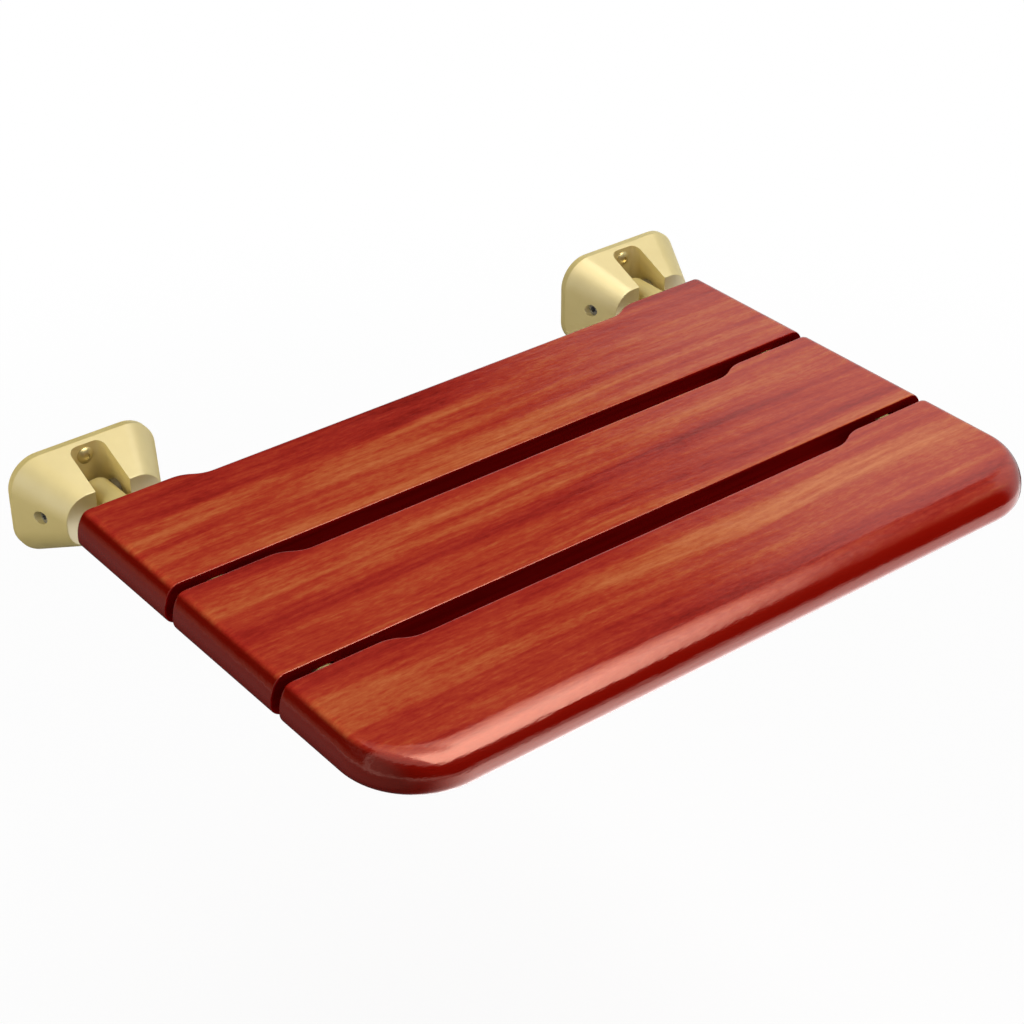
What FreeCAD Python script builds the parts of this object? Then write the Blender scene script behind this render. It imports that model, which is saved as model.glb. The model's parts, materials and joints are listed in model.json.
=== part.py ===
import FreeCAD, Part
import math
import os
import Sketcher
from types import SimpleNamespace

# Folding shower seat: lacquered wood slats on two arms that hinge up between wall brackets.
# Millimetres. The origin is on the wall, midway between the brackets at half their height.
# X runs along the wall, +Y points into the wall and +Z is up. The seat is modelled folded down.

SIZES = {
    # Seat
    "seat_width": 508.0,  # along the wall, over the rounded ends
    "seat_rear": 54.5,  # wall to the seat's rear edge
    "seat_top": 19.0,  # seat surface above the brackets' middle
    "slat_thickness": 26.0,
    "rear_slat_depth": 103.0,
    "middle_slat_depth": 104.0,
    "front_slat_depth": 108.5,
    "slat_gap": 6.0,  # between slats beside the reliefs
    "relief_depth": 8.0,  # how far a relief cuts into a slat's rear edge
    "relief_inset": 67.0,  # end of the seat to where a relief starts
    "relief_run": 26.0,  # from there to where it is at full depth
    "top_round": 12.0,  # cutter radius round the seat's outer top edge
    "bottom_round": 8.0,  # cutter radius round the seat's outer bottom edge
    "front_corner": 51.0,  # front corners, seen from above
    "rear_edge_round": 2.5,  # edges of the seat's rear face
    "gap_rear_round": 3.0,  # rear edges of the slats in front of a gap
    "gap_front_round": 1.5,  # front edges of the slats behind a gap
    # Brackets
    "bracket_inset": 35.2,  # end of the seat to the bracket's middle
    "base_width": 101.0,
    "base_height": 67.0,
    "base_corner": 21.0,
    "rim_depth": 4.5,  # straight rim on the wall before the taper
    "bracket_depth": 40.0,  # wall to the nose
    "nose_width": 67.0,
    "nose_height": 36.0,
    "nose_corner": 16.0,
    "nose_edge_round": 0.8,
    "rim_edge_round": 1.2,
    "channel_width": 24.0,  # between the ears
    "channel_corner": 6.0,  # upright inner corners of the channel
    "web_thickness": 3.5,  # between the wall plate and the channel
    "core_width": 16.0,  # hollows behind the ears for the wall screws' heads
    "core_height": 46.0,
    "core_depth": 14.0,
    # Wall plates
    "plate_width": 84.0,
    "plate_height": 54.0,
    "plate_corner": 12.0,
    "plate_thickness": 4.0,
    "plate_clearance": 0.3,
    "wall_hole_diameter": 6.5,
    "wall_hole_spread": 60.0,  # along the wall
    "wall_hole_rise": 30.0,  # up the wall
    # Screws that hold a bracket to its plate
    "bracket_screw_diameter": 6.0,
    "bracket_screw_rise": 48.0,  # upper screw to lower screw
    "bracket_screw_relief": 0.4,  # tip short of the wall
    "dome_diameter": 11.0,
    "dome_height": 2.6,
    "dome_rim": 0.6,
    "dome_socket": 4.0,  # across flats
    "dome_socket_depth": 1.5,
    # Pivot
    "pivot_reach": 22.5,  # wall to the pivot
    "pivot_height": 2.0,  # above the brackets' middle
    "pin_diameter": 8.0,
    "pin_chamfer": 0.5,
    "lock_diameter": 9.0,
    "lock_length": 9.0,
    "lock_recess": 2.5,  # bracket's side to the lock screw's end, along the pivot
    "lock_socket": 4.5,  # across flats
    "lock_socket_depth": 4.0,
    "bush_diameter": 11.0,
    "bush_flange_diameter": 15.0,
    "bush_split": 1.0,  # between the two bushes of an arm
    "running_clearance": 0.05,  # bush on its pin, each side
    "thrust_clearance": 0.15,  # bush flange to ear
    "fixed_clearance": 0.02,  # pieces that don't move on each other
    # Arms
    "arm_width": 16.0,
    "knuckle_radius": 11.0,
    "heel_drop": 17.0,  # pivot to the underside of the heel
    "heel_length": 24.0,  # along the heel's underside
    "heel_step": 0.6,  # heel's back in front of the knuckle's back
    "heel_ledge": 3.0,  # pivot to the top of the heel's back
    "arm_edge_round": 6.5,
    "arm_setback": 45.0,  # front edge of the seat to the arm's end
    "flange_width": 44.0,
    "flange_thickness": 4.0,
    "flange_corner": 6.0,
    "flange_setback": 8.0,  # rear edge of the seat to the flange
    "groove_clearance": 0.5,
    # Stop pads
    "pad_width": 10.0,
    "pad_height": 9.0,
    "pad_base": 1.0,  # underside of the heel to the pad
    "pad_stem_diameter": 5.0,
    "pad_stem_length": 6.0,
    "stop_clearance": 0.1,
    # Screws that hold the slats
    "slat_screw_diameter": 4.2,
    "slat_screw_length": 22.0,
    "slat_screw_offset": 15.0,  # to each side of an arm's middle
    "slat_screw_head": 8.6,
    "slat_screw_head_height": 2.6,
    "slat_screw_head_rim": 0.4,
    "slat_screw_point": 1.4,
    "slat_screw_socket": 3.2,  # across flats
    "slat_screw_socket_depth": 1.8,
    "screw_clearance": 0.1,
}

SIDES = {"left": -1, "right": 1}
LEFT, RIGHT = -1, 1
UPRIGHT = FreeCAD.Vector(0, 0, 1)
NEAR = 0.001  # how close two places are taken to be the same
OVERSHOOT = 10  # how far a cut runs past the piece it opens


class Size:
    """A length that carries both its number and the sheet expression behind it."""

    def __init__(self, number, words):
        self.number = float(number)
        self.words = words

    def __add__(self, other):
        other = as_size(other)
        return Size(self.number + other.number, f"({self.words} + {other.words})")

    def __sub__(self, other):
        other = as_size(other)
        return Size(self.number - other.number, f"({self.words} - {other.words})")

    def __mul__(self, other):
        other = as_size(other)
        return Size(self.number * other.number, f"({self.words} * {other.words})")

    def __truediv__(self, other):
        other = as_size(other)
        return Size(self.number / other.number, f"({self.words} / {other.words})")

    def __neg__(self):
        return self * -1


def as_size(value):
    """Let a plain number stand where a size is wanted."""
    if isinstance(value, Size):
        return value
    return Size(value, f"({value})")


def fill_sheet(sheet):
    """Write one row per size and return the sizes by name."""
    named = {}
    for row, (alias, number) in enumerate(SIZES.items(), 1):
        sheet.set(f"A{row}", alias)
        sheet.set(f"B{row}", str(number))
        sheet.setAlias(f"B{row}", alias)
        named[alias] = Size(number, f"Sizes.{alias}")
    return SimpleNamespace(**named)


doc = FreeCAD.newDocument("folding_shower_seat")
d = fill_sheet(doc.addObject("Spreadsheet::Sheet", "Sizes"))
doc.recompute()

# Places that several pieces share
bracket_spacing = d.seat_width - d.bracket_inset * 2
slat_underside = d.seat_top - d.slat_thickness
middle_slat_rear = d.seat_rear + d.rear_slat_depth + d.slat_gap
front_slat_rear = middle_slat_rear + d.middle_slat_depth + d.slat_gap
seat_front = front_slat_rear + d.front_slat_depth
arm_top = d.pivot_height + d.knuckle_radius
arm_front = seat_front - d.arm_setback
flange_bottom = slat_underside - d.flange_thickness
channel_back = d.plate_thickness + d.web_thickness
knuckle_back = d.pivot_reach - d.knuckle_radius
heel_back = knuckle_back + d.heel_step
heel_bottom = d.pivot_height - d.heel_drop
pad_thickness = heel_back - channel_back - d.stop_clearance
pad_bottom = heel_bottom + d.pad_base
pad_middle = pad_bottom + d.pad_height / 2
taper_at_pivot = (d.pivot_reach - d.rim_depth) / (d.bracket_depth - d.rim_depth)
side_at_pivot = (d.base_width - (d.base_width - d.nose_width) * taper_at_pivot) / 2
half_pin = side_at_pivot - d.lock_recess - d.lock_length
SLATS = {
    "rear_slat": (d.seat_rear, d.rear_slat_depth),
    "middle_slat": (middle_slat_rear, d.middle_slat_depth),
    "front_slat": (front_slat_rear, d.front_slat_depth),
}


def new_body(label, x=0, y=0, z=0):
    """Open a sub-part and place it."""
    body = doc.addObject("PartDesign::Body", label)
    body.Label = label
    for axis, place in (("x", x), ("y", y), ("z", z)):
        body.setExpression(f"Placement.Base.{axis}", as_size(place).words)
    return body


def plane_of(body, role):
    """One of a body's own origin planes."""
    return next(feature for feature in body.Origin.OriginFeatures if feature.Role == role)


def new_sketch(body, name, role, offset=0):
    """Open a sketch on one of the body's planes, moved out along that plane's normal."""
    sketch = body.newObject("Sketcher::SketchObject", f"{body.Label}_{name}")
    sketch.AttachmentSupport = [(plane_of(body, role), "")]
    sketch.MapMode = "FlatFace"
    sketch.setExpression("AttachmentOffset.Base.z", as_size(offset).words)
    return sketch


def hold(sketch, size, kind, *where):
    """Add one dimension to a sketch and tie it to the sheet."""
    size = as_size(size)
    index = sketch.addConstraint(Sketcher.Constraint(kind, *where, size.number))
    sketch.setExpression(f"Constraints[{index}]", size.words)


def pin_point(sketch, geometry, point, x, y):
    """Hold a point of the sketch at x and y from the sketch's origin."""
    hold(sketch, x, "DistanceX", -1, 1, geometry, point)
    hold(sketch, y, "DistanceY", -1, 1, geometry, point)


def vector(x, y):
    return FreeCAD.Vector(as_size(x).number, as_size(y).number, 0)


def draw_circle(sketch, x, y, radius):
    index = sketch.addGeometry(Part.Circle(vector(x, y), UPRIGHT, radius.number))
    pin_point(sketch, index, 3, x, y)
    hold(sketch, radius, "Radius", index)


def line(x, y):
    """A move of an outline: straight to x, y."""
    return SimpleNamespace(x=x, y=y, radius=None)


def arc(x, y, centre_x, centre_y, radius, turn):
    """A move of an outline: round a centre to x, y, turning left (-1) or right (1)."""
    return SimpleNamespace(x=x, y=y, centre=vector(centre_x, centre_y), radius=radius, turn=turn)


def bearing(centre, place):
    return math.atan2(place.y - centre.y, place.x - centre.x)


def draw_outline(sketch, moves):
    """Draw a closed outline. Each move starts where the one before it ended."""
    ends = []
    for before, move in zip([moves[-1]] + moves[:-1], moves):
        start = vector(before.x, before.y)
        end = vector(move.x, move.y)
        if move.radius is None:
            index = sketch.addGeometry(Part.LineSegment(start, end))
            ends.append((index, 1, 2))
            continue
        if move.turn == RIGHT:
            first, last = bearing(move.centre, end), bearing(move.centre, start)
        else:
            first, last = bearing(move.centre, start), bearing(move.centre, end)
        if last < first:
            last += 2 * math.pi
        ring = Part.Circle(move.centre, UPRIGHT, move.radius.number)
        index = sketch.addGeometry(Part.ArcOfCircle(ring, first, last))
        ends.append((index, 2, 1) if move.turn == RIGHT else (index, 1, 2))
    for (index, _, tail), (following, head, _) in zip(ends, ends[1:] + ends[:1]):
        sketch.addConstraint(Sketcher.Constraint("Coincident", index, tail, following, head))
    for (index, _, tail), move in zip(ends, moves):
        pin_point(sketch, index, tail, move.x, move.y)
        if move.radius is not None:
            hold(sketch, move.radius, "Radius", index)


def draw_rectangle(sketch, left, right, bottom, top):
    draw_outline(sketch, [line(left, bottom), line(right, bottom), line(right, top), line(left, top)])


def draw_rounded_rectangle(sketch, left, right, bottom, top, radius):
    """A rectangle with four equal round corners."""
    low, high = bottom + radius, top - radius
    near, far = left + radius, right - radius
    moves = [
        line(far, bottom),
        arc(right, low, far, low, radius, LEFT),
        line(right, high),
        arc(far, top, far, high, radius, LEFT),
        line(near, top),
        arc(left, high, near, high, radius, LEFT),
        line(left, low),
        arc(near, bottom, near, low, radius, LEFT),
    ]
    draw_outline(sketch, moves)


def draw_hexagon(sketch, x, y, across_flats):
    """A regular hexagon, corners up and down."""
    corner = across_flats / math.sqrt(3)
    half_flat = across_flats / 2
    moves = [
        line(x, y + corner),
        line(x - half_flat, y + corner / 2),
        line(x - half_flat, y - corner / 2),
        line(x, y - corner),
        line(x + half_flat, y - corner / 2),
        line(x + half_flat, y + corner / 2),
    ]
    draw_outline(sketch, moves)


def add_feature(body, kind, name, profile=None, **sizes):
    """Add a feature to a body with its sizes tied to the sheet."""
    feature = body.newObject(f"PartDesign::{kind}", f"{body.Label}_{name}")
    if profile is not None:
        feature.Profile = profile
    for field, size in sizes.items():
        feature.setExpression(field, as_size(size).words)
    return feature


def pad(body, name, sketch, length, symmetric=False):
    feature = add_feature(body, "Pad", name, sketch, Length=length)
    feature.SideType = "Symmetric" if symmetric else "One side"
    doc.recompute()
    return feature


def pocket(body, name, sketch, depth, along_normal=False, symmetric=False):
    """Cut a sketch into the body, and make sure that it met some material."""
    before = body.Tip.Shape.Volume
    feature = add_feature(body, "Pocket", name, sketch, Length=depth)
    feature.Reversed = along_normal
    feature.SideType = "Symmetric" if symmetric else "One side"
    doc.recompute()
    if body.Tip.Shape.Volume > before - NEAR:
        raise ValueError(f"{feature.Label} cut nothing away")
    return feature


def dress_edges(body, kind, name, size, wanted):
    """Round or chamfer the edges of the body's latest shape that pass the wanted test."""
    base = body.Tip
    names = [f"Edge{number}" for number, edge in enumerate(base.Shape.Edges, 1) if wanted(edge)]
    if not names:
        raise ValueError(f"{body.Label} has no edge for {name}")
    field = "Radius" if kind == "Fillet" else "Size"
    feature = add_feature(body, kind, name, **{field: size})
    feature.Base = (base, names)
    doc.recompute()
    return feature


def mirror(body, name, features, role):
    """Repeat features on the other side of one of the body's planes."""
    feature = add_feature(body, "Mirrored", name)
    feature.Originals = features
    feature.MirrorPlane = (plane_of(body, role), [""])
    body.Tip = feature
    doc.recompute()


def lies_at(low, high, place):
    """Whether an edge's stretch along one axis is all at one place."""
    return abs(low - place.number) < NEAR and abs(high - place.number) < NEAR


def is_round(edge, radius):
    return isinstance(edge.Curve, Part.Circle) and abs(edge.Curve.Radius - radius.number) < NEAR


# Slats: boards with a shallow S-ended relief in the rear edge and grooves below for the arms
def relief_moves():
    """The rear edge from left to right; each end of the relief is two arcs that meet halfway."""
    bend = (d.relief_run * d.relief_run + d.relief_depth * d.relief_depth) / (d.relief_depth * 4)
    mouth = d.seat_width / 2 - d.relief_inset
    halfway = mouth - d.relief_run / 2
    full = mouth - d.relief_run
    half_depth = -d.relief_depth / 2
    floor = -d.relief_depth
    return [
        line(-mouth, 0),
        arc(-halfway, half_depth, -mouth, -bend, bend, RIGHT),
        arc(-full, floor, -full, bend - d.relief_depth, bend, LEFT),
        line(full, floor),
        arc(halfway, half_depth, full, bend - d.relief_depth, bend, LEFT),
        arc(mouth, 0, mouth, -bend, bend, RIGHT),
    ]


def front_moves(end, depth, rounded):
    """The front edge from right to left, with or without large corners."""
    if not rounded:
        return [line(end, -depth), line(-end, -depth)]
    turn_x = end - d.front_corner
    turn_y = d.front_corner - depth
    return [
        line(end, turn_y),
        arc(turn_x, -depth, turn_x, turn_y, d.front_corner, RIGHT),
        line(-turn_x, -depth),
        arc(-end, turn_y, -turn_x, turn_y, d.front_corner, RIGHT),
    ]


def make_slat(label, rear, depth, rounded):
    """One slat, with its rear edge at its own y = 0 and its underside at its own z = 0."""
    body = new_body(label, y=-rear, z=slat_underside)
    end = d.seat_width / 2
    plan = new_sketch(body, "plan", "XY_Plane")
    draw_outline(plan, [line(-end, 0)] + relief_moves() + [line(end, 0)] + front_moves(end, depth, rounded))
    pad(body, "board", plan, d.slat_thickness)

    def is_rear(box):
        return box.YMin > -d.relief_depth.number - NEAR

    def is_front(box):
        return not rounded and box.YMax < -depth.number + NEAR

    def on_outer_edge(edge, height):
        box = edge.BoundBox
        return lies_at(box.ZMin, box.ZMax, height) and not is_rear(box) and not is_front(box)

    dress_edges(body, "Fillet", "top_round", d.top_round, lambda e: on_outer_edge(e, d.slat_thickness))
    dress_edges(body, "Fillet", "bottom_round", d.bottom_round, lambda e: on_outer_edge(e, as_size(0)))

    def is_rim(box):
        level = box.ZLength < NEAR
        return level or max(-box.XMin, box.XMax) > end.number - NEAR

    rear_round = d.rear_edge_round if label == "rear_slat" else d.gap_rear_round
    dress_edges(
        body, "Fillet", "rear_edges", rear_round, lambda e: is_rear(e.BoundBox) and is_rim(e.BoundBox)
    )
    if not rounded:
        dress_edges(body, "Fillet", "front_edges", d.gap_front_round, lambda e: is_front(e.BoundBox))
    cut_grooves(body, rear, depth, rounded)
    return body


def cut_grooves(body, rear, depth, stopped):
    """Grooves for the arms and pilot holes for the screws, from below."""
    roof = arm_top + d.groove_clearance - slat_underside
    half_groove = d.arm_width / 2 + d.groove_clearance
    front = -depth - OVERSHOOT
    if stopped:
        front = rear - arm_front - d.groove_clearance
    grooves = new_sketch(body, "grooves", "XY_Plane")
    pilots = new_sketch(body, "pilots", "XY_Plane")
    for side in SIDES.values():
        middle = bracket_spacing * side / 2
        draw_rectangle(grooves, middle - half_groove, middle + half_groove, front, as_size(OVERSHOOT))
        for hand in SIDES.values():
            place = middle + d.slat_screw_offset * hand
            draw_circle(pilots, place, -depth / 2, d.slat_screw_diameter / 2 + d.fixed_clearance)
    pocket(body, "groove_cut", grooves, roof, along_normal=True)
    bite = d.slat_screw_length - d.flange_thickness + d.screw_clearance
    pocket(body, "pilot_cut", pilots, bite, along_normal=True)


def make_slat_screws(label, rear, depth):
    """The four countersunk screws of one slat, points up."""
    body = new_body(label, y=-rear - depth / 2, z=flange_bottom)
    heads = new_sketch(body, "heads", "XY_Plane")
    shanks = new_sketch(body, "shanks", "XY_Plane")
    sockets = new_sketch(body, "sockets", "XY_Plane")
    for side in SIDES.values():
        for hand in SIDES.values():
            place = bracket_spacing * side / 2 + d.slat_screw_offset * hand
            draw_circle(heads, place, 0, d.slat_screw_head / 2)
            draw_circle(shanks, place, 0, d.slat_screw_diameter / 2)
            draw_hexagon(sockets, place, as_size(0), d.slat_screw_socket)
    pad(body, "head", heads, d.slat_screw_head_height)
    cone = d.slat_screw_head_height - d.slat_screw_head_rim

    def at_head_top(edge):
        return lies_at(edge.BoundBox.ZMin, edge.BoundBox.ZMax, d.slat_screw_head_height)

    def at_tip(edge):
        return lies_at(edge.BoundBox.ZMin, edge.BoundBox.ZMax, d.slat_screw_length)

    dress_edges(body, "Chamfer", "cone", cone, at_head_top)
    pad(body, "shank", shanks, d.slat_screw_length)
    dress_edges(body, "Chamfer", "point", d.slat_screw_point, at_tip)
    pocket(body, "socket_cut", sockets, d.slat_screw_socket_depth, along_normal=True)
    return body


# Arms: a knuckle and heel at the wall end, then a bar in the slats' grooves with a flange below it
def make_arm(label, middle):
    body = new_body(label, x=middle)
    profile = new_sketch(body, "profile", "YZ_Plane")
    ledge = d.pivot_height - d.heel_ledge
    flange_rear = d.seat_rear + d.flange_setback
    moves = [
        line(-knuckle_back, d.pivot_height),
        arc(-d.pivot_reach, arm_top, -d.pivot_reach, d.pivot_height, d.knuckle_radius, LEFT),
        line(-arm_front, arm_top),
        line(-arm_front, flange_bottom),
        line(-flange_rear, flange_bottom),
        line(-knuckle_back - d.heel_length, heel_bottom),
        line(-heel_back, heel_bottom),
        line(-heel_back, ledge),
        line(-knuckle_back, ledge),
    ]
    draw_outline(profile, moves)
    pad(body, "bar", profile, d.arm_width, symmetric=True)

    def on_outer_side(edge):
        box = edge.BoundBox
        flank = abs(abs(box.XMin) - d.arm_width.number / 2) < NEAR and box.XLength < NEAR
        along_top = lies_at(box.ZMin, box.ZMax, arm_top)
        at_back = box.YMin > -d.pivot_reach.number - NEAR and box.ZMax > d.pivot_height.number - NEAR
        return flank and (along_top or at_back)

    dress_edges(body, "Fillet", "top_edges", d.arm_edge_round, on_outer_side)
    add_flange(body, flange_rear)
    bore = new_sketch(body, "bore", "YZ_Plane")
    draw_circle(bore, -d.pivot_reach, d.pivot_height, d.bush_diameter / 2 + d.fixed_clearance)
    pocket(body, "bore_cut", bore, d.arm_width + OVERSHOOT, symmetric=True)
    stem = new_sketch(body, "stem", "XZ_Plane", heel_back)
    draw_circle(stem, 0, pad_middle, d.pad_stem_diameter / 2 + d.fixed_clearance)
    pocket(body, "stem_cut", stem, d.pad_stem_length + d.screw_clearance, along_normal=True)
    return body


def add_flange(body, flange_rear):
    """The flat flange under the slats, with a countersunk hole each side of the bar per slat."""
    plan = new_sketch(body, "flange", "XY_Plane", flange_bottom)
    half = d.flange_width / 2
    draw_rounded_rectangle(plan, -half, half, -arm_front, -flange_rear, d.flange_corner)
    pad(body, "flange_plate", plan, d.flange_thickness)
    holes = new_sketch(body, "holes", "XY_Plane", slat_underside)
    radius = d.slat_screw_diameter / 2 + d.screw_clearance
    for rear, depth in SLATS.values():
        for hand in SIDES.values():
            draw_circle(holes, d.slat_screw_offset * hand, -rear - depth / 2, radius)
    pocket(body, "hole_cut", holes, d.flange_thickness)
    sink = d.slat_screw_head / 2 + d.slat_screw_head_rim + d.screw_clearance - radius

    def at_mouth(edge):
        return is_round(edge, radius) and lies_at(edge.BoundBox.ZMin, edge.BoundBox.ZMax, flange_bottom)

    dress_edges(body, "Chamfer", "countersinks", sink, at_mouth)


def make_stop_pad(label, middle):
    """A pad on the heel's back, with a stem pressed into the heel."""
    body = new_body(label, x=middle)
    face = new_sketch(body, "face", "XZ_Plane", heel_back - pad_thickness)
    draw_rectangle(face, -d.pad_width / 2, d.pad_width / 2, pad_bottom, pad_bottom + d.pad_height)
    pad(body, "block", face, pad_thickness)
    stem = new_sketch(body, "stem", "XZ_Plane", heel_back)
    draw_circle(stem, 0, pad_middle, d.pad_stem_diameter / 2)
    pad(body, "peg", stem, d.pad_stem_length)
    return body


def make_arm_bushes(label, middle):
    """A flanged bush from each side of the arm."""
    body = new_body(label, x=middle)
    inner = d.pin_diameter / 2 + d.running_clearance
    half_arm = d.arm_width / 2
    sleeve = new_sketch(body, "sleeve", "YZ_Plane", d.bush_split / 2)
    flange = new_sketch(body, "flange", "YZ_Plane", half_arm)
    for sketch, outer in ((sleeve, d.bush_diameter / 2), (flange, d.bush_flange_diameter / 2)):
        draw_circle(sketch, -d.pivot_reach, d.pivot_height, outer)
        draw_circle(sketch, -d.pivot_reach, d.pivot_height, inner)
    tube = pad(body, "tube", sleeve, half_arm - d.bush_split / 2)
    collar = pad(body, "collar", flange, d.channel_width / 2 - d.thrust_clearance - half_arm)
    mirror(body, "pair", [tube, collar], "YZ_Plane")
    return body


# Brackets: a rim on the wall tapering to a nose, split by an open channel for the arm's knuckle
def make_bracket(label, middle):
    body = new_body(label, x=middle)
    half_width, half_height = d.base_width / 2, d.base_height / 2
    back = new_sketch(body, "back", "XZ_Plane")
    front_of_rim = new_sketch(body, "front_of_rim", "XZ_Plane", d.rim_depth)
    for sketch in (back, front_of_rim):
        draw_rounded_rectangle(sketch, -half_width, half_width, -half_height, half_height, d.base_corner)
    nose = new_sketch(body, "nose", "XZ_Plane", d.bracket_depth)
    half_nose, half_rise = d.nose_width / 2, d.nose_height / 2
    draw_rounded_rectangle(nose, -half_nose, half_nose, -half_rise, half_rise, d.nose_corner)
    pad(body, "rim", back, d.rim_depth)
    taper = add_feature(body, "AdditiveLoft", "taper", front_of_rim)
    taper.Sections = [nose]
    taper.Ruled = True
    doc.recompute()

    def at_depth(edge, depth):
        return lies_at(edge.BoundBox.YMin, edge.BoundBox.YMax, -depth)

    dress_edges(body, "Fillet", "nose_edge", d.nose_edge_round, lambda e: at_depth(e, d.bracket_depth))
    dress_edges(body, "Fillet", "rim_edge", d.rim_edge_round, lambda e: at_depth(e, d.rim_depth))
    cut_channel(body)
    cut_back(body)
    cut_pivot(body)
    return body


def cut_channel(body):
    """The channel between the ears, open above, below and in front."""
    half = d.channel_width / 2
    inner = half - d.channel_corner
    start = -channel_back - d.channel_corner
    front = -d.bracket_depth - OVERSHOOT
    plan = new_sketch(body, "channel", "XY_Plane")
    moves = [
        line(-half, front),
        line(half, front),
        line(half, start),
        arc(inner, -channel_back, inner, start, d.channel_corner, LEFT),
        line(-inner, -channel_back),
        arc(-half, start, -inner, start, d.channel_corner, LEFT),
    ]
    draw_outline(plan, moves)
    pocket(body, "channel_cut", plan, d.base_height + OVERSHOOT, symmetric=True)


def cut_back(body):
    """The plate's seat, the hollows for the wall screws' heads and the holes to the channel."""
    seat = new_sketch(body, "plate_seat", "XZ_Plane")
    half_width = d.plate_width / 2 + d.plate_clearance
    half_height = d.plate_height / 2 + d.plate_clearance
    corner = d.plate_corner + d.plate_clearance
    draw_rounded_rectangle(seat, -half_width, half_width, -half_height, half_height, corner)
    pocket(body, "plate_cut", seat, d.plate_thickness, along_normal=True)
    cores = new_sketch(body, "cores", "XZ_Plane")
    screws = new_sketch(body, "screw_holes", "XZ_Plane")
    half_core, half_rise = d.core_width / 2, d.core_height / 2
    for side in SIDES.values():
        place = d.wall_hole_spread * side / 2
        corner = half_core - NEAR
        draw_rounded_rectangle(cores, place - half_core, place + half_core, -half_rise, half_rise, corner)
        rise = d.bracket_screw_rise * side / 2
        draw_circle(screws, 0, rise, d.bracket_screw_diameter / 2 + d.screw_clearance)
    pocket(body, "core_cut", cores, d.core_depth, along_normal=True)
    pocket(body, "screw_cut", screws, channel_back + OVERSHOOT, along_normal=True)


def cut_pivot(body):
    """The pin's bore, blind in the right ear, and the wider thread for the lock screw on the left."""
    bore = new_sketch(body, "pin_bore", "YZ_Plane", half_pin + d.screw_clearance)
    draw_circle(bore, -d.pivot_reach, d.pivot_height, d.pin_diameter / 2 + d.fixed_clearance)
    pocket(body, "pin_cut", bore, half_pin + d.base_width)
    thread = new_sketch(body, "lock_bore", "YZ_Plane", -half_pin)
    draw_circle(thread, -d.pivot_reach, d.pivot_height, d.lock_diameter / 2 + d.fixed_clearance)
    pocket(body, "lock_cut", thread, d.base_width)


def make_wall_plate(label, middle):
    """The plate that the wall screws hold, with threaded holes for the bracket's own screws."""
    body = new_body(label, x=middle)
    half_width, half_height = d.plate_width / 2, d.plate_height / 2
    face = new_sketch(body, "face", "XZ_Plane")
    draw_rounded_rectangle(face, -half_width, half_width, -half_height, half_height, d.plate_corner)
    pad(body, "plate", face, d.plate_thickness)
    holes = new_sketch(body, "holes", "XZ_Plane")
    for side in SIDES.values():
        rise = d.bracket_screw_rise * side / 2
        draw_circle(holes, 0, rise, d.bracket_screw_diameter / 2 + d.fixed_clearance)
        for level in SIDES.values():
            place = d.wall_hole_spread * side / 2
            draw_circle(holes, place, d.wall_hole_rise * level / 2, d.wall_hole_diameter / 2)
    pocket(body, "hole_cut", holes, d.plate_thickness, along_normal=True)
    return body


def make_bracket_screws(label, middle):
    """A domed socket screw above the arm and another below it."""
    body = new_body(label, x=middle)
    radius, head = d.bracket_screw_diameter / 2, d.dome_diameter / 2
    crown = d.dome_height - d.dome_rim
    dome = (head * head + crown * crown) / (crown * 2)
    apex = channel_back + d.dome_height
    profile = new_sketch(body, "profile", "XY_Plane", d.bracket_screw_rise / 2)
    moves = [
        line(0, -d.bracket_screw_relief),
        line(0, -apex),
        arc(head, -channel_back - d.dome_rim, 0, dome - apex, dome, LEFT),
        line(head, -channel_back),
        line(radius, -channel_back),
        line(radius, -d.bracket_screw_relief),
    ]
    draw_outline(profile, moves)
    turned = add_feature(body, "Revolution", "turned", profile)
    turned.ReferenceAxis = (profile, ["V_Axis"])
    doc.recompute()
    socket = new_sketch(body, "socket", "XZ_Plane", apex)
    draw_hexagon(socket, as_size(0), d.bracket_screw_rise / 2, d.dome_socket)
    driven = pocket(body, "socket_cut", socket, d.dome_socket_depth)
    mirror(body, "pair", [turned, driven], "XY_Plane")
    return body


def make_pivot_pin(label, middle):
    body = new_body(label, x=middle)
    end = new_sketch(body, "end", "YZ_Plane", -half_pin)
    draw_circle(end, -d.pivot_reach, d.pivot_height, d.pin_diameter / 2)
    pad(body, "rod", end, half_pin * 2)
    dress_edges(body, "Chamfer", "ends", d.pin_chamfer, lambda e: is_round(e, d.pin_diameter / 2))
    return body


def make_pin_lock_screw(label, middle):
    """The socket screw that keeps the pin in, just inside the bracket's left side."""
    body = new_body(label, x=middle)
    outer_end = -half_pin - d.lock_length
    end = new_sketch(body, "end", "YZ_Plane", outer_end)
    draw_circle(end, -d.pivot_reach, d.pivot_height, d.lock_diameter / 2)
    pad(body, "stud", end, d.lock_length)
    socket = new_sketch(body, "socket", "YZ_Plane", outer_end)
    draw_hexagon(socket, -d.pivot_reach, d.pivot_height, d.lock_socket)
    pocket(body, "socket_cut", socket, d.lock_socket_depth, along_normal=True)
    return body


MAKERS = {
    "bracket": make_bracket,
    "wall_plate": make_wall_plate,
    "bracket_screws": make_bracket_screws,
    "pivot_pin": make_pivot_pin,
    "pin_lock_screw": make_pin_lock_screw,
    "arm": make_arm,
    "arm_bushes": make_arm_bushes,
    "stop_pad": make_stop_pad,
}


def make_all():
    """Every sub-part of the seat."""
    bodies = []
    for label, (rear, depth) in SLATS.items():
        bodies.append(make_slat(label, rear, depth, label == "front_slat"))
        bodies.append(make_slat_screws(f"{label}_screws", rear, depth))
    for name, maker in MAKERS.items():
        for side, sign in SIDES.items():
            bodies.append(maker(f"{name}_{side}", bracket_spacing * sign / 2))
    return bodies


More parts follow.
